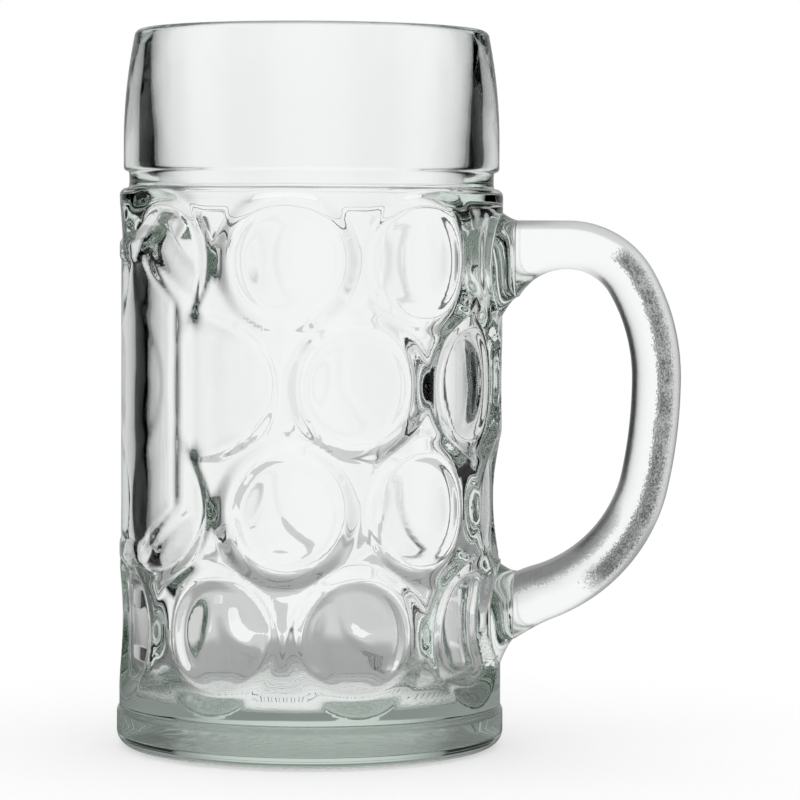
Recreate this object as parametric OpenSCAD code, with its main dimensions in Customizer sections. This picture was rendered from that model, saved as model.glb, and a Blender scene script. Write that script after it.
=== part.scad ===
// Dimpled glass beer mug: a blown body, a solid glass handle and the two collars of glass
// that weld the handle to the body. Millimetres, +Z up, origin at the middle of the foot,
// handle towards +X, bare label panel towards -X.

/* [Body] */
// overall height
mug_h = 200; // [170:1:230]
// outside diameter of the plain body wall
body_d = 107.2; // [96:0.2:118]
// thickness of the plain body wall
wall_t = 6.1; // [4.8:0.1:7.5]
// thickness of the bottom, from the table to the inside floor
floor_t = 14; // [9:0.5:20]
// radius of the inside corner at the bottom
floor_round = 12; // [6:0.5:16]

/* [Foot] */
// height of the heavy foot ring
foot_h = 10.8; // [7:0.2:15]
// how far the foot ring stands proud of the wall
foot_proud = 0.7; // [0.3:0.1:2]
// radius of the rounded bottom edge
foot_round = 4.5; // [2:0.1:6]
// width of the flat ring that the mug stands on
stand_w = 6.8; // [4:0.1:12]
// depth of the hollow inside the flat ring
hollow_h = 1.6; // [0.6:0.1:4]

/* [Rim] */
// height of the plain band above the groove
band_h = 39.5; // [30:0.5:50]
// how far the band stands inside the body wall
band_step = 1.1; // [0.4:0.1:2.4]
// radius of the band's lower edge
band_round = 1.2; // [0.4:0.1:1.4]
// height over which the band is upright, above the groove
band_upright = 7.9; // [4:0.1:12]
// radius of the slow inward curve of the band
band_curve_r = 150; // [120:1:260]
// depth of the groove measured from the band
groove_depth = 1.5; // [0.6:0.1:2.4]
// height of the groove
groove_h = 4.6; // [3:0.1:7]
// radius of the shoulder that turns into the groove
shoulder_round = 2.1; // [0.6:0.1:2.4]
// thickness of the wall at the groove
neck_t = 7.1; // [5:0.1:8]
// height over which the inside draws in towards the groove
neck_in_h = 9.6; // [6:0.1:14]
// thickness of the wall at the lip
lip_t = 4.1; // [3.7:0.1:6]
// radius of the lip's rounded edges
lip_round = 1.7; // [1:0.1:1.8]

/* [Dimples] */
// rows of dimples up the body
dimple_rows = 4; // [2:1:4]
// dimples in one row
dimple_count = 8; // [6:1:8]
// width of a dimple, as a share of the room between its neighbours
dimple_share = 0.98; // [0.8:0.01:0.98]
// width of a dimple's level floor, as a share of the whole dimple
dimple_flat = 0.79; // [0.6:0.01:0.85]
// depth of a dimple
dimple_depth = 2.7; // [1.6:0.1:3.2]
// height of the bump that a dimple makes on the inside
bump_h = 2.6; // [1.2:0.1:3]
// height of the lowest row's middle above the table
first_row_z = 34.7; // [31:0.1:37]
// distance of the highest row's middle below the shoulder
last_row_drop = 19.9; // [18:0.1:26]

/* [Label panel] */
// width of the bare panel, straight across
panel_w = 88; // [60:1:92]
// height of the panel's lower edge above the table
panel_low_z = 57; // [50:0.5:70]
// distance of the panel's upper edge below the shoulder
panel_drop = 18.9; // [14:0.1:40]
// width of the cut corners
panel_cut_w = 10; // [4:0.5:16]
// height of the cut corners
panel_cut_h = 12.5; // [4:0.5:18]

/* [Handle] */
// thickness of the bar at the top and the grip, seen from the side
handle_t = 13.4; // [11:0.1:16]
// thickness of the bar at its lower end
foot_t = 15.4; // [12:0.1:18]
// width of the bar, seen from behind
handle_w = 21; // [17:0.1:23]
// squareness of the bar's section: 2 is a plain oval, more is squarer
bar_square = 3; // [2:0.1:4]
// furthest reach of the handle from the body wall
handle_out = 49.9; // [44:0.1:60]
// distance of the level top run's middle below the shoulder
handle_drop = 15.3; // [12:0.1:20]
// height at which the bar's middle meets the lower collar
handle_foot_z = 41; // [36:0.2:48]
// where the grip's furthest point lies, as a share of the way up the handle
grip_share = 0.63; // [0.55:0.01:0.7]
// length of the level top run, from its collar
top_run_l = 13.8; // [10:0.1:18]
// share of the upper turn that the tighter bend takes, in degrees
top_bend = 60; // [50:1:68]
// turn of the long grip curve, in degrees
grip_bend = 12; // [9:1:15]
// slope of the bar where it comes down to the lower collar, in degrees
foot_slope = 20; // [14:1:26]
// length of the straight lower run
foot_run_l = 8; // [5:0.1:12]
// radius of the hollow under the top run's root
root_r = 16; // [14:0.2:20]
// how far the bar's lower end swells at the collar
foot_swell = 2; // [0.5:0.1:4]

/* [Collars] */
// distance from the body wall to the flat face that carries the bar
collar_l = 4.6; // [3:0.1:7]
// how far the upper collar spreads upward on the wall, past the bar
upper_up = 2.2; // [0.5:0.1:4]
// how far the upper collar spreads downward on the wall, past the bar
upper_down = 5.6; // [2:0.1:8]
// how far the lower collar spreads upward on the wall, past the bar
lower_up = 2.3; // [0.5:0.1:4]
// how far the lower collar spreads downward on the wall, past the bar
lower_down = 7.8; // [2:0.1:9]
// hollowness of the collars' flare: 1 is a plain cone, more is hollower
collar_flare = 1.6; // [1:0.1:2.6]
// plain glass kept round each collar
collar_land = 1; // [0.5:0.1:3]

/* [Hidden] */
$fn = 96;

// margin by which a cut runs past the face that it opens
over = mug_h / 40;

body_r = body_d / 2;
inner_r = body_r - wall_t;
foot_r = body_r + foot_proud;
hollow_r = foot_r - foot_round - stand_w;
band_r = body_r - band_step;
neck_r = band_r - groove_depth;
neck_in_r = neck_r - neck_t;
band_low_z = mug_h - band_h;
shoulder_z = band_low_z - groove_h;
lean_z = band_low_z + band_upright;
lip_r = band_r - band_curve_r + sqrt(pow(band_curve_r, 2) - pow(mug_h - lean_z, 2));
mouth_r = lip_r - lip_t;

dimple_step = 360 / dimple_count;
row_pitch = (shoulder_z - last_row_drop - first_row_z) / (dimple_rows - 1);
// room for half a dimple: beside the next one in its row, and beside the next row's
room_in_row = PI * body_r / dimple_count;
room_between_rows = norm([room_in_row, row_pitch]) / 2;
dimple_r = dimple_share * min(room_in_row, room_between_rows, row_pitch);
dimple_flat_r = dimple_flat * dimple_r;
panel_high_z = shoulder_z - panel_drop;

seat_x = body_r + collar_l;
top_run_x = seat_x + top_run_l;
bar_x = body_r + handle_out - handle_t / 2;
handle_top_z = shoulder_z - handle_drop;
grip_z = handle_foot_z + grip_share * (handle_top_z - handle_foot_z);

// the upper turn is two arcs that leave the level run and end upright at the grip
up_dx = bar_x - top_run_x;
up_dz = handle_top_z - grip_z;
up_det = sin(top_bend) * cos(top_bend) - (1 - sin(top_bend)) * (1 - cos(top_bend));
top_r = (up_dx * cos(top_bend) - up_dz * (1 - sin(top_bend))) / up_det;
back_r = (up_dz * sin(top_bend) - up_dx * (1 - cos(top_bend))) / up_det;

// the lower turn is two arcs that leave the grip upright and end at the foot's slope
foot_bend = 90 - foot_slope;
low_dx = bar_x - seat_x - foot_run_l;
low_dz = grip_z - handle_foot_z - foot_run_l * tan(foot_slope);
low_a = cos(grip_bend) - cos(foot_bend);
low_b = sin(foot_bend) - sin(grip_bend);
low_det = (1 - cos(grip_bend)) * low_b - low_a * sin(grip_bend);
grip_r = (low_dx * low_b - low_dz * low_a) / low_det;
foot_bend_r = (low_dz * (1 - cos(grip_bend)) - low_dx * sin(grip_bend)) / low_det;
foot_x = bar_x - grip_r + (grip_r - foot_bend_r) * cos(grip_bend);
foot_z = grip_z - (grip_r - foot_bend_r) * sin(grip_bend);

// stations along the bar: x, z, angle of the way outward, reach inward, reach outward
run_steps = 10;
bend_steps = 9;
round_steps = 32;
function mix(a, b, f) = a + (b - a) * f;
// the hollow under the root is a quarter round that dies out where the bend starts
function root_swell(x) = root_r - sqrt(pow(root_r, 2) - pow(min(top_run_x - x, root_r), 2));
top_run = [for (i = [0 : run_steps - 1])
    let (x = mix(seat_x, top_run_x, i / run_steps))
    [x, handle_top_z, 90, handle_t / 2 + root_swell(x), handle_t / 2]];
top_turn = [for (i = [0 : bend_steps - 1])
    let (a = 90 - top_bend * i / bend_steps)
    [top_run_x + top_r * cos(a), handle_top_z - top_r + top_r * sin(a), a,
        handle_t / 2, handle_t / 2]];
back_turn = [for (i = [0 : bend_steps - 1])
    let (a = (90 - top_bend) * (1 - i / bend_steps))
    [bar_x - back_r + back_r * cos(a), grip_z + back_r * sin(a), a, handle_t / 2, handle_t / 2]];
grip_turn = [for (i = [0 : bend_steps - 1])
    let (a = -grip_bend * i / bend_steps)
    [bar_x - grip_r + grip_r * cos(a), grip_z + grip_r * sin(a), a, handle_t / 2, handle_t / 2]];
foot_turn = [for (i = [0 : 2 * bend_steps - 1])
    let (f = i / (2 * bend_steps))
    let (a = -mix(grip_bend, foot_bend, f))
    let (t = mix(handle_t, foot_t, f))
    [foot_x + foot_bend_r * cos(a), foot_z + foot_bend_r * sin(a), a, t / 2, t / 2]];
// over the last stretch the stations turn upright to sit flat on the collar
foot_run = [for (i = [0 : run_steps])
    let (f = i / run_steps)
    let (a = -mix(foot_bend, 90, f))
    let (t = foot_t / mix(1, cos(foot_slope), f))
    [seat_x + foot_run_l * (1 - f), handle_foot_z + foot_run_l * (1 - f) * tan(foot_slope), a,
        t / 2, t / 2 + foot_swell * pow(f, 2)]];
stations = concat(top_run, top_turn, back_turn, grip_turn, foot_turn, foot_run);

// outline of the bar round one station, as points
function squared(v) = sign(v) * pow(abs(v), 2 / bar_square);
function section(p) = [for (k = [0 : round_steps - 1])
    let (a = 360 * k / round_steps)
    let (c = squared(cos(a)) * (cos(a) > 0 ? p[4] : p[3]))
    [p[0] + c * cos(p[2]), handle_w / 2 * squared(sin(a)), p[1] + c * sin(p[2])]];

// round spot that each collar covers on the wall: height of its middle, radius
top_end = stations[0];
low_end = stations[len(stations) - 1];
upper_high = top_end[1] + top_end[4] + upper_up;
upper_low = top_end[1] - top_end[3] - upper_down;
upper_spot = [(upper_high + upper_low) / 2, (upper_high - upper_low) / 2];
lower_high = low_end[1] + low_end[3] + lower_up;
lower_low = low_end[1] - low_end[4] - lower_down;
lower_spot = [(lower_high + lower_low) / 2, (lower_high - lower_low) / 2];

// a collar as outlines from the middle of its spot, over the wall and along the flare to the bar
seam = mug_h / 6000;
flare_steps = 9;
function on_wall(y, z) = [sqrt(pow(body_r + seam, 2) - pow(y, 2)), y, z];
function collar_rings(p, spot) =
    let (end = section(p))
    let (mid = p[1] + (p[4] - p[3]) / 2 * sin(p[2]))
    let (rim = [for (v = end)
        let (a = atan2(v[2] - mid, v[1]))
        [spot[1] * cos(a), spot[0] + spot[1] * sin(a)]])
    concat(
        [for (f = [0.05 : 0.2 : 0.9]) [for (r = rim) on_wall(f * r[0], mix(spot[0], r[1], f))]],
        [for (i = [0 : flare_steps])
            let (f = i / flare_steps)
            let (g = pow(1 - f, collar_flare))
            [for (k = [0 : round_steps - 1])
                let (y = mix(end[k][1], rim[k][0], g))
                let (z = mix(end[k][2], rim[k][1], g))
                [mix(on_wall(y, z)[0], end[k][0], f), y, z]]]);

// angle and height of a dimple: every second row, counted from the top, is turned by half a step
function turned(row) = (dimple_rows - 1 - row) % 2 == 1;
function dimple_a(row, i) = dimple_step * (i + (turned(row) ? 0.5 : 0));
function dimple_z(row) = first_row_z + row * row_pitch;
function dimple_y(row, i) = body_r * sin(dimple_a(row, i));
// a dimple that would lie wholly under the label panel is left out
function under_panel(row, i) =
    cos(dimple_a(row, i)) < 0
    && abs(dimple_y(row, i)) + dimple_r < panel_w / 2
    && dimple_z(row) - dimple_r > panel_low_z
    && dimple_z(row) + dimple_r < panel_high_z;
// so is one whose middle lies under a collar
function under_collar(row, i, spot) =
    cos(dimple_a(row, i)) > 0
    && norm([dimple_y(row, i), dimple_z(row) - spot[0]]) < spot[1];
function has_dimple(row, i) =
    !under_panel(row, i)
    && !under_collar(row, i, upper_spot)
    && !under_collar(row, i, lower_spot);
// a place on the body: angle and height of a dimple's middle, then away from it along the wall
function in_dimple(row, i, r, aside, up) =
    let (a = dimple_a(row, i) + aside / body_r * 180 / PI)
    [r * cos(a), r * sin(a), dimple_z(row) + up];
// outline of a dimple's sloping side: f is 0 at its floor and 1 where it leaves the wall
dimple_sides = 24;
past_wall = 1.05;
past_floor = -0.3;
function dimple_ring(row, i, wall_r, depth, f) =
    let (reach = mix(dimple_flat_r, dimple_r, f))
    [for (k = [0 : dimple_sides - 1])
        let (a = 360 * k / dimple_sides)
        in_dimple(row, i, wall_r - depth * (1 - f), reach * cos(a), reach * sin(a))];
// middle of an outline
function middle(ring) = [for (axis = [0 : 2]) [for (p = ring) p[axis]] * [for (p = ring) 1 / len(ring)]];

// the bit of a square corner that lies outside a rounding of radius r
module corner(at, r, into) {
    translate(at)
        scale([into.x, into.y])
            difference() {
                translate([-over, -over])
                    square(r + over);
                translate([r, r])
                    circle(r);
            }
}

// outside of the body as a solid of revolution
module outer_outline() {
    difference() {
        union() {
            square([foot_r, foot_h]);
            square([body_r, shoulder_z]);
            square([neck_r, lean_z]);
            translate([0, band_low_z])
                square([band_r, band_upright]);
            intersection() {
                translate([0, lean_z])
                    square([band_r, mug_h - lean_z]);
                translate([band_r - band_curve_r, lean_z])
                    circle(band_curve_r, $fn = 720);
            }
        }
        corner([foot_r, 0], foot_round, [-1, 1]);
        corner([body_r, shoulder_z], shoulder_round, [-1, -1]);
        corner([band_r, band_low_z], band_round, [-1, 1]);
        corner([lip_r, mug_h], lip_round, [-1, -1]);
        translate([0, -over])
            square([hollow_r, over + hollow_h]);
    }
}

// the space inside, before the dimples push into it
module cavity_outline() {
    difference() {
        union() {
            polygon([
                [0, floor_t],
                [inner_r, floor_t],
                [inner_r, band_low_z - neck_in_h],
                [neck_in_r, band_low_z],
                [mouth_r, mug_h - lip_round],
                [mouth_r, mug_h + over],
                [0, mug_h + over]
            ]);
            translate([0, mug_h])
                scale([1, -1])
                    difference() {
                        square([mouth_r + lip_round, lip_round]);
                        translate([mouth_r + lip_round, lip_round])
                            circle(lip_round);
                    }
        }
        corner([inner_r, floor_t], floor_round, [-1, 1]);
    }
}

// all dimples of one wall: sloping sides down to a floor that is round like the wall
module dimples(wall_r, depth) {
    intersection() {
        rotate_extrude()
            translate([wall_r - depth, 0])
                square([depth + 2 * over, mug_h]);
        for (row = [0 : dimple_rows - 1])
            for (i = [0 : dimple_count - 1])
                if (has_dimple(row, i))
                    swept(
                        [for (f = [past_wall, past_floor]) dimple_ring(row, i, wall_r, depth, f)],
                        [for (r = [wall_r + over, wall_r - 2 * depth]) in_dimple(row, i, r, 0, 0)]);
    }
}

// the bare panel as a block with cut corners, on the side away from the handle
module panel_block() {
    half = panel_w / 2;
    translate([-body_r - over, 0, 0])
        rotate([90, 0, 90])
            linear_extrude(body_r)
                polygon([
                    [-half + panel_cut_w, panel_low_z],
                    [half - panel_cut_w, panel_low_z],
                    [half, panel_low_z + panel_cut_h],
                    [half, panel_high_z - panel_cut_h],
                    [half - panel_cut_w, panel_high_z],
                    [-half + panel_cut_w, panel_high_z],
                    [-half, panel_high_z - panel_cut_h],
                    [-half, panel_low_z + panel_cut_h]
                ]);
}

// plain round land that a collar stands on
module land(spot) {
    translate([body_r / 2, 0, spot[0]])
        rotate([0, 90, 0])
            cylinder(r = spot[1] + collar_land, h = body_r);
}

module mug_body() {
    color("lightcyan", 0.4)
        difference() {
            rotate_extrude()
                outer_outline();
            difference() {
                rotate_extrude()
                    cavity_outline();
                dimples(inner_r, bump_h);
            }
            difference() {
                dimples(body_r, dimple_depth);
                panel_block();
                land(upper_spot);
                land(lower_spot);
            }
        }
}

// a solid drawn through a row of outlines, closed at both ends to the given points
module swept(rings, ends) {
    count = len(rings[0]);
    last = (len(rings) - 1) * count;
    points = concat([for (ring = rings) for (p = ring) p], ends);
    sides = [for (i = [0 : len(rings) - 2])
        for (k = [0 : count - 1])
            let (a = i * count)
            let (b = a + count)
            let (n = (k + 1) % count)
            for (face = [[a + k, a + n, b + n], [a + k, b + n, b + k]])
                face];
    start = [for (k = [0 : count - 1]) [last + count, (k + 1) % count, k]];
    end = [for (k = [0 : count - 1]) [last + count + 1, last + k, last + (k + 1) % count]];
    polyhedron(points, concat(start, sides, end), convexity = 6);
}

// the same with level ends
module lofted(rings) {
    swept(rings, [middle(rings[0]), middle(rings[len(rings) - 1])]);
}

// a gather of glass that flares from the end of the bar to its round spot on the wall
module upper_collar() {
    color("lightblue", 0.5)
        lofted(collar_rings(top_end, upper_spot));
}

module lower_collar() {
    rings = collar_rings(low_end, lower_spot);
    color("lightblue", 0.5)
        lofted([for (i = [len(rings) - 1 : -1 : 0]) rings[i]]);
}

// a bar of squared oval section drawn through all stations, flat at both ends
module handle() {
    color("aliceblue", 0.5)
        lofted([for (p = stations) section(p)]);
}

mug_body();
upper_collar();
lower_collar();
handle();
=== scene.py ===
import math

import bmesh
import bpy
import numpy as np
from mathutils import Euler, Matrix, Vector


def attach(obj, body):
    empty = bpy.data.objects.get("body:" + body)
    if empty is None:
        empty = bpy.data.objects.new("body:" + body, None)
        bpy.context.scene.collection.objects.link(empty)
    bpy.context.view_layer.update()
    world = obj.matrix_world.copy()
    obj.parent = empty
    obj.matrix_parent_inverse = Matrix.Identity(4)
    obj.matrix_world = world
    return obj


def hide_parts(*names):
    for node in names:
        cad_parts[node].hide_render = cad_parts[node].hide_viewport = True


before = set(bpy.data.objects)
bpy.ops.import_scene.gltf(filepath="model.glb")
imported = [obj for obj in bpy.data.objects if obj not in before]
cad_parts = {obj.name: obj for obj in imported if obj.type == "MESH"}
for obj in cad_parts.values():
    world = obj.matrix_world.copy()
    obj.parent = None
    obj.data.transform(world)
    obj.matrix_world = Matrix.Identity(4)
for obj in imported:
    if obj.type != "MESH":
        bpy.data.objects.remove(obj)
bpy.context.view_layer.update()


# The camera stands a good arm's length away and a little above the table, with a long lens. It is
# turned slightly round the mug, so that the handle stands out at the right and the panel at the left.
scene = bpy.context.scene
image_px, focal_px, sensor_mm = 800, 3492.0, 36.0
view_turn, roll = math.radians(8.0), math.radians(0.27)
eye_distance, eye_height = 0.980, 0.145
level_row, aim_right = 228, 0.0250
right = Vector((math.cos(view_turn), math.sin(view_turn), 0.0))
ahead = Vector((-math.sin(view_turn), math.cos(view_turn), 0.0))
eye = -eye_distance * ahead + Vector((0.0, 0.0, eye_height))
aim_drop = eye_distance * (image_px / 2 - level_row) / focal_px
aim = aim_right * right + Vector((0.0, 0.0, eye_height - aim_drop))
camera_data = bpy.data.cameras.new("camera")
camera_data.sensor_width = sensor_mm
camera_data.lens = sensor_mm * focal_px / image_px
camera_data.clip_end = 20.0
camera = bpy.data.objects.new("camera", camera_data)
camera.location = eye
towards_mug = (aim - eye).to_track_quat("-Z", "Y")
camera.rotation_euler = (towards_mug @ Euler((0.0, 0.0, roll)).to_quaternion()).to_euler()
scene.collection.objects.link(camera)
scene.camera = camera


# The light is a plain white studio: an even glow all round, a white screen behind the mug and
# others at its sides and front, with dark cards between that draw the edges of clear glass.
class Term:
    """One output socket of a node tree, used in plain arithmetic."""

    def __init__(self, tree, socket=None):
        self.tree, self.socket = tree, socket

    def node(self, kind, sockets=(), out=0, stops=(), **settings):
        """Add a node: its settings first, then ramp stops, then values or links by name or place."""
        made = self.tree.nodes.new(kind)
        for name, value in settings.items():
            setattr(made, name, value)
        for spot, (place, colour) in enumerate(stops):
            ramp = made.color_ramp.elements
            stop = ramp[spot] if spot < 2 else ramp.new(place)
            stop.position, stop.color = place, colour
        live = [s for s in made.inputs if s.enabled]
        for key, value in dict(sockets).items():
            into = live[key] if isinstance(key, int) else next(s for s in live if s.name == key)
            if isinstance(value, Term):
                self.tree.links.new(value.socket, into)
            else:
                into.default_value = value
        live = [s for s in made.outputs if s.enabled]
        if isinstance(out, str):
            return Term(self.tree, next(s for s in live if s.name == out))
        return Term(self.tree, live[out] if live else None)

    def math(self, operation, *values):
        return self.node("ShaderNodeMath", enumerate(values), operation=operation)

    def ease(self, low, high, at_low=0.0, at_high=1.0):
        return self.node(
            "ShaderNodeMapRange",
            {"Value": self, "From Min": low, "From Max": high, "To Min": at_low, "To Max": at_high},
            interpolation_type="SMOOTHSTEP",
        )

    def split(self):
        parts = self.node("ShaderNodeSeparateXYZ", {0: self}).socket.node.outputs
        return [Term(self.tree, part) for part in parts]

    def __add__(self, other):
        return self.math("ADD", self, other)

    def __radd__(self, other):
        return self.math("ADD", other, self)

    def __sub__(self, other):
        return self.math("SUBTRACT", self, other)

    def __rsub__(self, other):
        return self.math("SUBTRACT", other, self)

    def __mul__(self, other):
        return self.math("MULTIPLY", self, other)

    def __rmul__(self, other):
        return self.math("MULTIPLY", other, self)

    def __truediv__(self, other):
        return self.math("DIVIDE", self, other)

    def __rtruediv__(self, other):
        return self.math("DIVIDE", other, self)

    def __abs__(self):
        return self.math("ABSOLUTE", self)

    def __pow__(self, other):
        return self.math("POWER", self, other)


# How white each screen is, by the angle in degrees from straight behind the mug.
rear_screen = [(0.0, 1.0), (8.0, 1.0), (14.0, 0.93), (18.0, 0.86)]
rear_screen += [(23.0, 0.7), (27.0, 0.55), (31.0, 0.4), (33.5, 0.0)]
side_screens = [(62.0, 0.0), (72.0, 0.9), (108.0, 0.9), (118.0, 0.0)]
front_screen = [(144.0, 0.0), (157.0, 0.65), (168.0, 0.85), (180.0, 0.85)]
ceiling_from, ceiling_full = 0.4, 0.75
even_glow, gloss_dimming = 0.95, 0.6
studio = bpy.data.worlds.new("studio")
studio.use_nodes = True
studio.node_tree.nodes.clear()
start = Term(studio.node_tree)
to_x, to_y, to_z = start.node("ShaderNodeTexCoord", out="Generated").split()
to_side = to_x * right.x + to_y * right.y
to_ahead = to_x * ahead.x + to_y * ahead.y
bearing = abs(start.math("ARCTAN2", to_side, to_ahead))
cards = start.node("ShaderNodeValToRGB", {"Fac": bearing / math.pi}, stops=[
    (angle / 180.0, (shade, shade, shade, 1.0))
    for angle, shade in rear_screen + side_screens + front_screen])
overhead = to_z.ease(ceiling_from, ceiling_full)
through_glass = cards + overhead * (1.0 - cards)
camera_ray, glossy_ray, glass_ray = (
    start.node("ShaderNodeLightPath", out=ray)
    for ray in ("Is Camera Ray", "Is Glossy Ray", "Is Transmission Ray"))
in_glass = start.math("MAXIMUM", glossy_ray, glass_ray)
level = even_glow + in_glass * (through_glass - even_glow)
level = level * (1.0 - gloss_dimming * glossy_ray * (1.0 - glass_ray))
level = start.math("MAXIMUM", level, camera_ray)
glow = start.node("ShaderNodeBackground", {"Color": level, "Strength": 1.0})
start.node("ShaderNodeOutputWorld", {"Surface": glow})
scene.world = studio
scene.view_settings.view_transform = "Standard"
scene.cycles.max_bounces = 32
scene.cycles.transmission_bounces = 32
scene.cycles.glossy_bounces = 16


# The table is a round pale board under the mug. The camera sees it as white paper with the
# mug's soft shadow on it; the glass shows its painted glow, with painted light in front and far
# behind, and painted shade beside.
table_r, table_sides, table_drop = 0.385, 96, 0.0003
table_turns = [2 * math.pi * i / table_sides for i in range(table_sides)]
table_edge = [(table_r * math.cos(a), table_r * math.sin(a), -table_drop) for a in table_turns]
table_mesh = bpy.data.meshes.new("table")
table_mesh.from_pydata(table_edge, [], [list(range(table_sides))])
table = bpy.data.objects.new("table", table_mesh)
scene.collection.objects.link(table)

# Each stretch of the board's painted light and shade, in metres: where it starts to change and
# ends, and from what to what.
beside_foot, shade_spread = (0.025, 0.055, 1.0, 0.15), 0.35
under_handle, far_aside = (0.058, 0.072, 0.0, 0.7), (0.12, 0.22, 0.0, 0.8)
front_to_rear, far_behind = (0.0, 0.03, 1.5, 0.55), (0.12, 0.28, 1.0, 1.85)
board_grey, board_painted_glow, paper_grey, paper_glow = 0.1, 0.58, 0.62, 0.44
white = (1.0, 1.0, 1.0, 1.0)
board = bpy.data.materials.new("pale_board")
board.use_nodes = True
board.node_tree.nodes.clear()
start = Term(board.node_tree)
x, y, _ = start.node("ShaderNodeTexCoord", out="Object").split()
to_right = x * right.x + y * right.y
to_rear = x * ahead.x + y * ahead.y
# Painted shade beside the foot, and painted light under the handle, at the far sides, in front and far
# behind.
from_foot = abs(to_right) - shade_spread * start.math("MAXIMUM", to_rear, 0.0)
painted_light = start.math("MAXIMUM", from_foot.ease(*beside_foot), to_right.ease(*under_handle))
painted_light = start.math("MAXIMUM", painted_light, abs(to_right).ease(*far_aside))
painted_light = painted_light * to_rear.ease(*front_to_rear) * to_rear.ease(*far_behind)
# Seen in the glass, the board glows with this painted light; to the camera it is evenly white paper.
in_the_glass, to_the_camera = (
    start.node("ShaderNodeAddShader", {
        0: start.node("ShaderNodeBsdfDiffuse", {"Color": (grey, grey, grey, 1.0)}),
        1: start.node("ShaderNodeEmission", {"Color": colour, "Strength": strength}),
    }) for grey, colour, strength in ((board_grey, painted_light, board_painted_glow), (paper_grey, white, paper_glow)))
shown = start.node("ShaderNodeMixShader", {
    0: start.node("ShaderNodeLightPath", out="Is Camera Ray"), 1: in_the_glass, 2: to_the_camera})
start.node("ShaderNodeOutputMaterial", {"Surface": shown})
table_mesh.materials.append(board)


# The body is one blown piece of clear soda-lime glass, faintly green where it is thick, turned from
# one profile. The mould presses staggered rows of round dimples into its wall and, opposite the
# handle, a bare panel that lies a little deeper than the narrow land round it.
MM = 0.001
clear, refraction = (0.986, 0.986, 0.986, 1.0), 1.52
skin_gloss = (0.4, 0.4, 0.4, 1.0)


def clear_glass(name, waviness, wave_scale):
    """Begin a glass whose skin has the soft waves of blown work."""
    glass = bpy.data.materials.new(name)
    glass.use_nodes = True
    glass.node_tree.nodes.clear()
    start = Term(glass.node_tree)
    place = start.node("ShaderNodeTexCoord", out="Object")
    wave = start.node("ShaderNodeTexNoise", {"Vector": place, "Scale": wave_scale, "Detail": 1.0})
    flow = start.node("ShaderNodeBump", {"Height": wave, "Strength": 1.0, "Distance": waviness})
    return glass, start, place, flow


def finish_glass(start, tint, density, normal, roughness, weld, surface=clear):
    """Clear skin and tinted depth; where two pieces are melted together the skin is gone."""
    skin = start.node("ShaderNodeBsdfPrincipled", {
        "Base Color": surface, "Roughness": roughness, "IOR": refraction,
        "Transmission Weight": 1.0, "Specular Tint": skin_gloss, "Normal": normal})
    joined = start.node("ShaderNodeBsdfTransparent", {"Color": white})
    skin = start.node("ShaderNodeMixShader", {0: weld, 1: skin, 2: joined})
    depth = start.node("ShaderNodeVolumeAbsorption", {"Color": tint, "Density": density})
    start.node("ShaderNodeOutputMaterial", {"Surface": skin, "Volume": depth})


body_r, foot_r, foot_round, belly_r = 53.6, 54.3, 4.5, 47.6
band_r, band_round, band_lean_r = 52.5, 1.2, 150.0
shoulder_z, shoulder_round, band_low_z, lean_z = 155.9, 2.1, 160.5, 168.4
lip_z, rim_z, lip_in = 197.9, 200.0, 44.9
hollow_r, hollow_h = 43.0, 1.6
corner_r, corner_z = 12.0, 26.0


def arc(x, z, rx, rz, first, last, steps):
    turn = np.radians(np.linspace(first, last, steps))
    return [(x + rx * math.cos(a), z + rz * math.sin(a)) for a in turn]


def band_edge(z):
    return band_r - band_lean_r + math.sqrt(band_lean_r ** 2 - max(z - lean_z, 0.0) ** 2)


under = [(r, hollow_h * (1 - (r / hollow_r) ** 3)) for r in (0, 12, 22, 30, 36, 40, 43)] + [(46.4, 0.0)]
foot = arc(foot_r - foot_round, foot_round, foot_round, foot_round, -90, 0, 9)
foot += [(foot_r, 7.2), (foot_r, 9.6), (54.22, 10.2), (53.98, 10.65), (53.72, 10.95), (53.6, 11.5)]
wall = [(body_r, z) for z in np.linspace(12.2, shoulder_z - shoulder_round, 142)]
shoulder_mid = (body_r - shoulder_round, shoulder_z - shoulder_round)
shoulder = arc(*shoulder_mid, shoulder_round, shoulder_round, 12, 90, 6)
groove = [(51.08, 156.2), (50.95, 157.2), (50.92, 158.4), (50.95, 159.6), (51.05, 160.3)]
band = arc(band_r - band_round, band_low_z + band_round, band_round, band_round, -80, 0, 5)
band += [(band_edge(z), z) for z in np.linspace(164.0, lip_z - 1.5, 12)]
lip_out = band_edge(lip_z)
lip = arc((lip_out + lip_in) / 2, lip_z, (lip_out - lip_in) / 2, rim_z - lip_z, 0, 180, 12)
neck = [(45.0, 194.5), (45.0, 189.0), (44.95, 183.0), (44.75, 176.0), (44.35, 170.0), (44.05, 164.5),
        (44.1, 160.5), (44.6, 157.5), (45.6, 155.0), (46.8, 152.6), (47.8, 150.2)]
belly = [(belly_r, z) for z in np.linspace(147.6, 27.5, 60)]
corner = arc(belly_r - corner_r, corner_z, corner_r, corner_r, 0, -90, 12)
floor = [(29.0, 14.0), (22.0, 14.05), (14.0, 14.2), (7.0, 14.35), (0.0, 14.4)]

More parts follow.
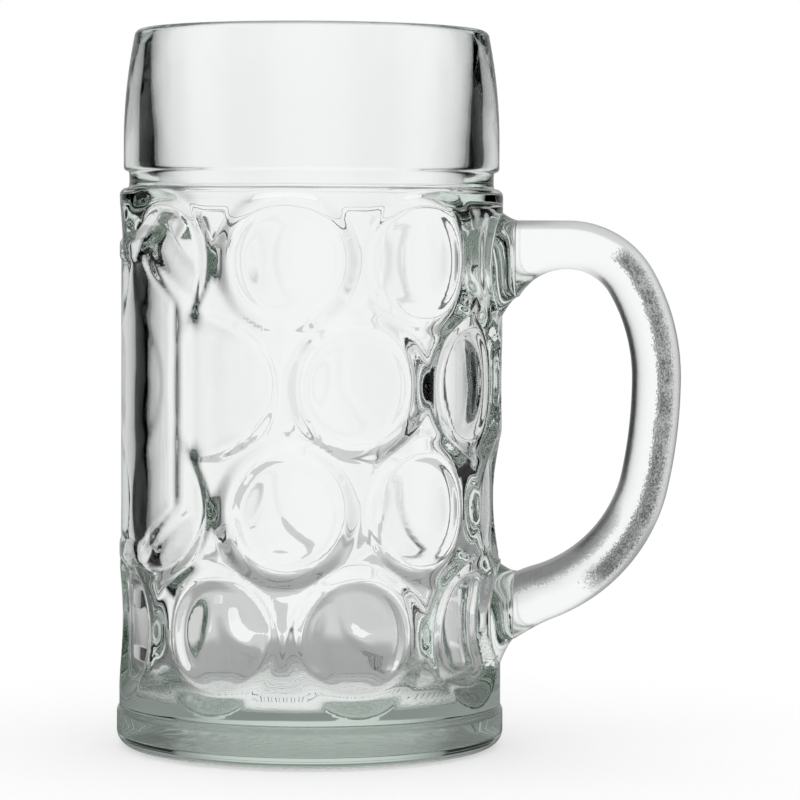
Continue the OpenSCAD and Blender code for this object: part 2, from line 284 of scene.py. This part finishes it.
# Each run of the profile, and how much of the mould's outside and inside pressing it takes.
fading = [0.9, 0.7, 0.45, 0.25, 0.1]
runs = [(under, 0.0, 0.0), (foot, 0.0, 0.0), (wall, 1.0, 0.0), (shoulder, fading + [0.0], 0.0)]
runs += [(groove, 0.0, 0.0), (band, 0.0, 0.0), (lip, 0.0, 0.0), (neck, 0.0, [0.0] * 6 + fading[::-1])]
runs += [(belly, 0.0, 1.0), (corner, 0.0, np.linspace(0.95, 0.0, len(corner))), (floor, 0.0, 0.0)]
profile = [(r * MM, 0.0, z * MM) for points, _, _ in runs for r, z in points]
outer_share = [s for points, share, _ in runs for s in np.broadcast_to(share, len(points)).tolist()]
inner_share = [s for points, _, share in runs for s in np.broadcast_to(share, len(points)).tolist()]
profile_mesh = bpy.data.meshes.new("mug_glass")
profile_mesh.from_pydata(profile, [], [])
for name, share in (("outer_share", outer_share), ("inner_share", inner_share)):
    profile_mesh.attributes.new(name, "FLOAT", "POINT").data.foreach_set("value", share)
mug = bpy.data.objects.new("mug_glass", profile_mesh)
scene.collection.objects.link(mug)

# The glass of the body: ribs on the ring it stands on, a stippled hollow inside that ring, and no
# skin on the two round spots, given by height and reach in mm, where the collars are melted on.
body_tint, body_density = (0.735, 0.8, 0.76, 1.0), 20.0
rib_count, rib_height, ripple_scale, ripple_height = 112.0, 0.0004, 320.0, 0.0008
stand_height, hollow_height = (0.0005, 0.0012, 1.0, 0.0), (0.0016, 0.0022, 1.0, 0.0)
stand_inside, stand_outside = (0.0432, 0.0438), (0.0500, 0.0512, 1.0, 0.0)
hollow_edge, rib_width = (0.0420, 0.0432, 1.0, 0.0), (-0.2, 0.6)
frosting, outer_wall = 0.4, 0.0515
upper_spot, lower_spot, spot_margin = (134.95, 14.55), (37.25, 14.24), 0.1
body_glass, start, place, flow = clear_glass("body_glass", 0.00008, 70.0)
x, y, z = place.split()
radius = (x * x + y * y) ** 0.5
rib = start.math("SINE", start.math("ARCTAN2", y, x) * rib_count).ease(*rib_width)
stand = z.ease(*stand_height) * radius.ease(*stand_inside) * radius.ease(*stand_outside)
stipple = start.node("ShaderNodeBump", {
    "Height": rib * stand, "Strength": 1.0, "Distance": rib_height, "Normal": flow})
hollow = z.ease(*hollow_height) * radius.ease(*hollow_edge)
ripple = start.node("ShaderNodeTexNoise", {"Vector": place, "Scale": ripple_scale, "Detail": 2.0})
stipple = start.node("ShaderNodeBump", {
    "Height": ripple * hollow, "Strength": 1.0, "Distance": ripple_height, "Normal": stipple})
weld = 0.0
for middle, reach in (upper_spot, lower_spot):
    off = (y ** 2.0 + (z - middle * MM) ** 2.0) ** 0.5
    weld = weld + start.math("LESS_THAN", off, (reach - spot_margin) * MM)
weld = weld * start.math("GREATER_THAN", x, 0.0) * start.math("GREATER_THAN", radius, outer_wall)
finish_glass(start, body_tint, body_density, stipple, (stand + hollow) * frosting, weld)

# The mould: the profile is turned round the axis, and its dimples, panel and plain lands pressed in.
counts = {"Steps round": 332, "Points in profile": len(profile), "Dimples in a row": 8}
lengths = {
    "Body radius": body_r, "First row height": 34.7, "Row pitch": 33.77,
    "Dimple depth": 2.75, "Dimple floor radius": 15.4, "Dimple edge radius": 20.0, "Dimple easing": 0.7,
    "Inside depth": 2.5, "Inside floor radius": 13.8, "Inside edge radius": 18.8, "Inside easing": 1.2,
    "Inside turning radius": 51.0, "Inside blend": 0.9,
    "Panel half width": 43.6, "Panel middle": 97.0, "Panel half height": 40.0,
    "Panel cut width": 10.0, "Panel cut height": 12.5,
    "Panel thickening": 1.75, "Panel recess": 0.45, "Panel frame": 3.6, "Inside frame": -0.7,
    "Upper collar height": 136.6, "Upper land": 20.2, "Lower collar height": 37.25, "Lower land": 15.2,
}
inputs = {**counts, **{name: length * MM for name, length in lengths.items()}}
row_count, frame_ramp, inside_ramp = 4, 0.55, 0.5
upper_edge, lower_edge = (0.0, 1.0 * MM), (0.0, 2.0 * MM)
upper_inside, lower_inside = (-6.0 * MM, 1.0 * MM), (-6.0 * MM, 3.0 * MM)
recess_edge, thick_edge = (-1.2 * MM, 0.0), (-4.0 * MM, 4.0 * MM)
frame_blend, inside_blend = 0.3 * MM, 1.0 * MM
far_side = (1.35, 1.5, 0.0, 0.05)
press = bpy.data.node_groups.new("dimpled_body", "GeometryNodeTree")
press.interface.new_socket("Geometry", in_out="OUTPUT", socket_type="NodeSocketGeometry")
press.interface.new_socket("Geometry", in_out="INPUT", socket_type="NodeSocketGeometry")
for name in inputs:
    kind = "NodeSocketInt" if name in counts else "NodeSocketFloat"
    press.interface.new_socket(name, in_out="INPUT", socket_type=kind)
start = Term(press)
given = {s.name: Term(press, s) for s in start.node("NodeGroupInput").socket.node.outputs if s.name}
rows, round_steps = given["Points in profile"], given["Steps round"]
sheet = start.node("GeometryNodeMeshGrid", {
    "Size X": 1.0, "Size Y": 1.0, "Vertices X": round_steps + 1.0, "Vertices Y": rows}, out="Mesh")
index = start.node("GeometryNodeInputIndex")
column = start.math("FLOOR", (index + 0.5) / rows)
row = index - column * rows


def from_profile(value, kind):
    return start.node("GeometryNodeSampleIndex", {
        "Geometry": given["Geometry"], "Value": value, "Index": row}, data_type=kind)


def share_of(name):
    share = start.node("GeometryNodeInputNamedAttribute", {"Name": name}, data_type="FLOAT")
    return from_profile(share, "FLOAT")


def dimple(away, part):
    """Depth across one dimple: level floor, straight side, both ends eased."""
    names = ("depth", "floor radius", "edge radius", "easing")
    deep, low, high, easing = (given[part + " " + n] for n in names)
    side = deep * (high - away) / (high - low)
    side = start.math("SMOOTH_MIN", side, deep, easing)
    return start.math("SMOOTH_MAX", side, 0.0, easing)


plain_r, _, height = from_profile(start.node("GeometryNodeInputPosition"), "FLOAT_VECTOR").split()
angle = column * (2 * math.pi) / round_steps
body_radius, step = given["Body radius"], 2 * math.pi / given["Dimples in a row"]
dish, swell = None, None
for k in range(row_count):
    stagger = 0.5 if k % 2 == 0 else 0.0
    turned_by = start.math("WRAP", angle - step * stagger, step * 0.5, step * -0.5)
    up = height - (given["First row height"] + given["Row pitch"] * float(k))
    outside, inside = (
        dimple(((turned_by * turning) ** 2.0 + up ** 2.0) ** 0.5, part)
        for turning, part in ((body_radius, "Dimple"), (given["Inside turning radius"], "Inside")))
    dish = outside if dish is None else start.math("MAXIMUM", dish, outside)
    swell = inside if swell is None else start.math("SMOOTH_MAX", swell, inside, given["Inside blend"])

# How far each point lies outside the eight-sided panel and outside the two round lands.
from_panel = abs(start.math("WRAP", angle - math.pi, math.pi, -math.pi))
across_panel = body_radius * start.math("SINE", start.math("MINIMUM", from_panel, math.pi / 2))
past_side = across_panel - given["Panel half width"]
past_end = abs(height - given["Panel middle"]) - given["Panel half height"]
cut_w, cut_h = given["Panel cut width"], given["Panel cut height"]
past_cut = ((past_side + cut_w) * cut_h + past_end * cut_w) / (cut_w ** 2.0 + cut_h ** 2.0) ** 0.5
off_panel = start.math("MAXIMUM", start.math("MAXIMUM", past_side, past_end), past_cut)
off_panel = off_panel + from_panel.ease(*far_side)
to_handle = start.math("WRAP", angle, math.pi, -math.pi) * body_radius
off_upper, off_lower = (
    (to_handle ** 2.0 + (height - given[end + " collar height"]) ** 2.0) ** 0.5 - given[end + " land"]
    for end in ("Upper", "Lower"))

# The dimples end in a short ramp at the panel's land, and fade out at the lands of the collars.
ramp = start.math("MAXIMUM", (off_panel - given["Panel frame"]) * frame_ramp, 0.0)
dish = start.math("MAXIMUM", start.math("SMOOTH_MIN", dish, ramp, frame_blend), 0.0)
dish = dish * off_upper.ease(*upper_edge) * off_lower.ease(*lower_edge)
dish = dish + off_panel.ease(*recess_edge, given["Panel recess"], 0.0)
ramp = start.math("SMOOTH_MAX", (off_panel - given["Inside frame"]) * inside_ramp, 0.0, inside_blend)
swell = start.math("SMOOTH_MIN", swell, ramp, inside_blend)
swell = swell * off_upper.ease(*upper_inside) * off_lower.ease(*lower_inside)
swell = swell + off_panel.ease(*thick_edge, given["Panel thickening"], 0.0)
pressed = plain_r - dish * share_of("outer_share") - swell * share_of("inner_share")
spot = start.node("ShaderNodeCombineXYZ", {
    0: pressed * start.math("COSINE", angle), 1: pressed * start.math("SINE", angle), 2: height})
turned = start.node("GeometryNodeSetPosition", {"Geometry": sheet, "Position": spot})
turned = start.node("GeometryNodeMergeByDistance", {"Geometry": turned, "Distance": 0.01 * MM})
turned = start.node("GeometryNodeSetShadeSmooth", {"Geometry": turned, "Shade Smooth": True})
turned = start.node("GeometryNodeRealizeInstances", {"Geometry": turned})
turned = start.node("GeometryNodeSetMaterial", {"Geometry": turned, "Material": body_glass})
start.node("NodeGroupOutput", {0: turned})
pressing = mug.modifiers.new("dimpled_body", "NODES")
pressing.node_group = press
for item in press.interface.items_tree:
    if item.in_out == "INPUT" and item.name in inputs:
        pressing[item.identifier] = inputs[item.name]
mug_mesh = bpy.data.meshes.new_from_object(mug.evaluated_get(bpy.context.evaluated_depsgraph_get()))
mug.modifiers.clear()
mug.data = mug_mesh
shell = bmesh.new()
shell.from_mesh(mug_mesh)
if shell.calc_volume(signed=True) < 0:
    mug_mesh.flip_normals()
shell.free()
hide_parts("mug_body")
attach(mug, "root")


# The handle is a solid bar of the same glass, a rounded square in section, bent to a D while soft.
# Its mould leaves a fine grain along the outer face, greyed with painted shade; it is welded on by its
# two flat ends.
seat_x, run_x, bar_x = 58.22, 72.0, 96.8
top_z, grip_z, low_z = 140.6, 103.75, 41.0
bar_thick, low_thick, bar_wide = 13.4, 15.4, 21.0
root_r, low_run, low_flare = 16.0, 8.0, 2.0
first_bend, grip_bend, low_slope = math.radians(60.0), math.radians(12.0), math.radians(20.0)
low_bend = math.pi / 2 - low_slope

# The radii that carry the bar smoothly from its top run to the grip, and from there to its low end.
over_x, over_z = bar_x - run_x, top_z - grip_z
side, rise = math.sin(first_bend), math.cos(first_bend)
scale = side * rise - (1 - side) * (1 - rise)
top_r = (over_x * rise - over_z * (1 - side)) / scale
back_r = (over_z * side - over_x * (1 - rise)) / scale
down_x, down_z = bar_x - seat_x - low_run, grip_z - low_z - low_run * math.tan(low_slope)
side, rise = math.cos(grip_bend) - math.cos(low_bend), math.sin(low_bend) - math.sin(grip_bend)
scale = (1 - math.cos(grip_bend)) * rise - side * math.sin(grip_bend)
grip_r = (down_x * rise - down_z * side) / scale
low_r = (down_z * (1 - math.cos(grip_bend)) - down_x * math.sin(grip_bend)) / scale
low_mid_x = bar_x - grip_r + (grip_r - low_r) * math.cos(grip_bend)
low_mid_z = grip_z - (grip_r - low_r) * math.sin(grip_bend)

# Stations along the bar: place, angle of the outward side, and thickness to its inner and outer face.
stations = []


def bend(x, z, radius, first, last, steps, last_thick=bar_thick):
    for f in np.linspace(0, 1, steps, endpoint=False):
        a = first + (last - first) * f
        half = (bar_thick + (last_thick - bar_thick) * f) / 2
        stations.append((x + radius * math.cos(a), z + radius * math.sin(a), a, half, half))


for f in np.linspace(0, 1, 20, endpoint=False):
    at_x = seat_x + (run_x - seat_x) * f
    root = root_r - math.sqrt(root_r ** 2 - (run_x - at_x) ** 2)
    stations.append((at_x, top_z, math.pi / 2, bar_thick / 2 + root, bar_thick / 2))
bend(run_x, top_z - top_r, top_r, math.pi / 2, math.pi / 2 - first_bend, 22)
bend(bar_x - back_r, grip_z, back_r, math.pi / 2 - first_bend, 0.0, 22)
bend(bar_x - grip_r, grip_z, grip_r, 0.0, -grip_bend, 22)
bend(low_mid_x, low_mid_z, low_r, -grip_bend, -low_bend, 40, low_thick)
for f in np.linspace(0, 1, 14):
    a = -(low_bend + (math.pi / 2 - low_bend) * f)
    half = low_thick / (1 + (math.cos(low_slope) - 1) * f) / 2
    left_over = low_run * (1 - f)
    at_z = low_z + left_over * math.tan(low_slope)
    stations.append((seat_x + left_over, at_z, a, half, half + low_flare * f * f))

section_points, squareness_in, squareness_out = 96, 3.4, 3.2
section = [2 * math.pi * k / section_points for k in range(section_points)]
# Where along the bar the grain and its painted shade start and end, by station.
grain_and_shade_starts, grain_and_shade_ends, foot_grain_and_shade_starts = (28, 42), (14, 40), (84, 110)


def square_round(value, squareness):
    return math.copysign(abs(value) ** (2.0 / squareness), value)


def fade(value, low, high):
    f = max(0.0, min(1.0, (value - low) / (high - low)))
    return f * f * (3 - 2 * f)


def loft(name, rings, material, welded=()):
    """Close a row of rings into one solid; both ends and the named strips are welded faces."""
    count, last = len(rings[0]), len(rings) - 1
    points, faces, weld = [p for ring in rings for p in ring], [], []
    for i in range(last):
        for k in range(count):
            n = (k + 1) % count
            faces.append((i * count + k, i * count + n, (i + 1) * count + n, (i + 1) * count + k))
            weld.append(1.0 if i in welded else 0.0)
    for i in (0, last):
        points.append(tuple(np.mean(rings[i], axis=0)))
        for k in range(count):
            pair = (i * count + k, i * count + (k + 1) % count)
            faces.append((*(pair if i else pair[::-1]), len(points) - 1))
            weld.append(1.0)
    mesh = bpy.data.meshes.new(name)
    mesh.from_pydata([tuple(v * MM for v in p) for p in points], [], faces)
    mesh.attributes.new("weld", "FLOAT", "FACE").data.foreach_set("value", weld)
    mesh.shade_smooth()
    for edge in mesh.edges:
        touched = {v // count for v in edge.vertices if v // count <= last}
        edge.use_edge_sharp = touched in ({0}, {last})
    mesh.materials.append(material)
    piece = bpy.data.objects.new(name, mesh)
    scene.collection.objects.link(piece)
    return piece


# The bar's glass: the grain bumps a ragged band down the outer face and, near the low end, the inner,
# and painted shade greys that band.
# Its edges are given across the bar, from -1 at the inner face to 1 at the outer, and along it.
bar_tint, bar_density, bar_roughness = (0.88, 0.945, 0.905, 1.0), 16.0, 0.2
# Painted shade: these two greys darken the clear colour where the grain lies.
dark_grain_and_shade, pale_grain_and_shade = (0.02, 0.02, 0.02, 1.0), (0.32, 0.32, 0.32, 1.0)
speckle_scale, patch_scale, grain_height = 1700.0, 260.0, 0.0002
outer_from, outer_to = (0.06, 0.2), (0.62, 0.9, 1.0, 0.0)
inner_from, inner_to = (-0.98, -0.9), (-0.42, -0.28, 1.0, 0.0)
grip_from, foot_from, grain_and_shade_mix = (0.3, 0.6), (0.3, 0.7), (0.36, 0.66)
bar_glass, start, place, flow = clear_glass("handle_glass", 0.00012, 90.0)
across, along_grip, along_foot, weld = (
    start.node("ShaderNodeAttribute", out="Fac", attribute_name=mark)
    for mark in ("across", "along_grip", "along_foot", "weld"))
speckle = start.node("ShaderNodeTexNoise", {"Vector": place, "Scale": speckle_scale, "Detail": 3.0})
patches = start.node("ShaderNodeTexNoise", {"Vector": place, "Scale": patch_scale, "Detail": 4.0})
scatter = speckle - 0.5
ragged = across + scatter * 0.5 + (patches - 0.5) * 0.3
outer = ragged.ease(*outer_from) * (across + scatter * 0.3).ease(*outer_to)
outer = outer * (along_grip + scatter * 0.7).ease(*grip_from)
inner = ragged.ease(*inner_to) * across.ease(*inner_from)
inner = inner * (along_foot + scatter * 0.4).ease(*foot_from)
grained = start.node("ShaderNodeBump", {
    "Height": speckle * (outer + inner * 0.5), "Strength": 1.0, "Distance": grain_height, "Normal": flow})
# Painted shade in the speckled grain: the band's colour runs from dark to pale grey.
grain_and_shade = start.node("ShaderNodeMix", {
    "Factor": (speckle * 0.6 + patches * 0.4).ease(*grain_and_shade_mix), "A": dark_grain_and_shade, "B": pale_grain_and_shade},
    data_type="RGBA")
surface = start.node("ShaderNodeMix", {
    "Factor": outer + inner * 0.55, "A": clear, "B": grain_and_shade}, data_type="RGBA")
finish_glass(start, bar_tint, bar_density, grained, bar_roughness, weld, surface)

bar_rings, marks = [], {"across": [], "along_grip": [], "along_foot": []}
for i, (at_x, at_z, a, r_in, r_out) in enumerate(stations):
    ring = []
    for s in section:
        reach, squareness = (r_out, squareness_out) if math.cos(s) > 0 else (r_in, squareness_in)
        out = square_round(math.cos(s), squareness)
        aside = -bar_wide / 2 * square_round(math.sin(s), squareness)
        ring.append((at_x + reach * out * math.cos(a), aside, at_z + reach * out * math.sin(a)))
        marks["across"].append(out)
        marks["along_grip"].append(fade(i, *grain_and_shade_starts) * fade(len(stations) - i, *grain_and_shade_ends))
        marks["along_foot"].append(fade(i, *foot_grain_and_shade_starts))
    bar_rings.append(ring)
bar = loft("handle_bar", bar_rings, bar_glass)
for name, values in marks.items():
    bar.data.attributes.new(name, "FLOAT", "POINT").data.foreach_set("value", values + [0.0, 0.0])
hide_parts("handle")
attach(bar, "root")


# Each collar is a gather of hot glass that welds one end of the bar to the wall. It spreads
# in a soft hollow from the bar's flat end to the plain round land on the body.
collar_tint, collar_density = (0.86, 0.935, 0.89, 1.0), 22.0
clearance, hollowing, spread_steps = 0.02, 1.6, 16
land_shares, face_shares = (0.15, 0.4, 0.65, 0.85), (0.9, 0.6, 0.3)
collar_glass, start, place, flow = clear_glass("collar_glass", 0.0002, 110.0)
weld = start.node("ShaderNodeAttribute", out="Fac", attribute_name="weld")
finish_glass(start, collar_tint, collar_density, flow, 0.0, weld)


def collar(name, node, end, spot):
    """Loft from the round spot on the wall to the ring of the bar's end, with both faces closed."""
    middle, spread_r = spot
    centre = np.mean(end, axis=0)
    turn = [math.atan2(z - centre[2], y) for _, y, z in end]
    land = [(spread_r * math.cos(a), middle + spread_r * math.sin(a)) for a in turn]

    def on_wall(y, z):
        return (math.sqrt((body_r + clearance) ** 2 - y ** 2), y, z)

    rings = [[on_wall(y * f, middle + (z - middle) * f) for y, z in land] for f in land_shares]
    for f in np.linspace(0, 1, spread_steps):
        ring = []
        for (land_y, land_z), (end_x, end_y, end_z) in zip(land, end):
            y = end_y + (land_y - end_y) * (1 - f) ** hollowing
            z = end_z + (land_z - end_z) * (1 - f) ** hollowing
            x = on_wall(y, z)[0]
            ring.append((x + (end_x - clearance - x) * f, y, z))
        rings.append(ring)
    face = np.array(rings[-1])
    hub = np.array((face[0][0], centre[1], centre[2]))
    rings += [[tuple(p) for p in hub + (face - hub) * f] for f in face_shares]
    strips = len(rings) - 1
    welded = (*range(len(land_shares)), *range(strips - len(face_shares), strips))
    piece = loft(name, rings, collar_glass, welded)
    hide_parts(node)
    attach(piece, "root")


collar("upper_weld", "upper_collar", bar_rings[0], upper_spot)
collar("lower_weld", "lower_collar", bar_rings[-1][::-1], lower_spot)
